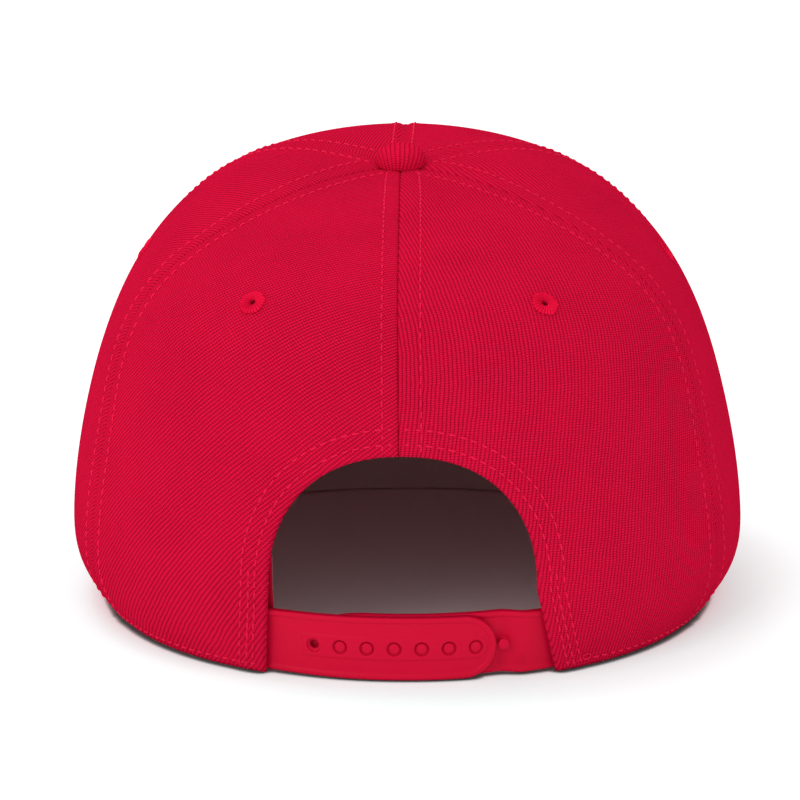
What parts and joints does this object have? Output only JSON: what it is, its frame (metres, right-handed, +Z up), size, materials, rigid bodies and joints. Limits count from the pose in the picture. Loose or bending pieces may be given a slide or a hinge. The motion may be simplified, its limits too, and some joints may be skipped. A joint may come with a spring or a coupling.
{
  "type": "snapback cap",
  "caption": "Structured cloth cap with panelled crown, stiff flat visor, sweatband and a snap strap across an arched opening at the back.",
  "frame": {"origin": "middle of the cap's footprint, on the surface it rests on", "axes": "+Z up; -Y forward, towards the visor's edge; +Y towards the snap strap; +X towards the wearer's left"},
  "size_m": [0.1902, 0.2646, 0.1263],
  "materials": {
    "crown_twill": "red wool-blend twill with diagonal ribs, matt with a faint nap",
    "band_cloth": "red cotton sweatband, matt",
    "snap_plastic": "red moulded strap plastic, satin",
    "eyelet_thread": "red embroidery thread in radial satin stitches",
    "seam_thread": "red sewing thread, slightly shiny"
  },
  "bodies": {
    "root": {"panel_back_left": "crown_twill", "panel_back_right": "crown_twill", "panel_side_left": "crown_twill", "panel_side_right": "crown_twill", "panel_front_left": "crown_twill", "panel_front_right": "crown_twill", "button": "crown_twill", "visor": "crown_twill", "sweatband": "band_cloth", "strap_left": "snap_plastic", "strap_right": "snap_plastic", "eyelet_back_left": "eyelet_thread", "eyelet_back_right": "eyelet_thread", "eyelet_side_left": "eyelet_thread", "eyelet_side_right": "eyelet_thread", "eyelet_front_left": "eyelet_thread", "eyelet_front_right": "eyelet_thread"}
  },
  "joints": []
}
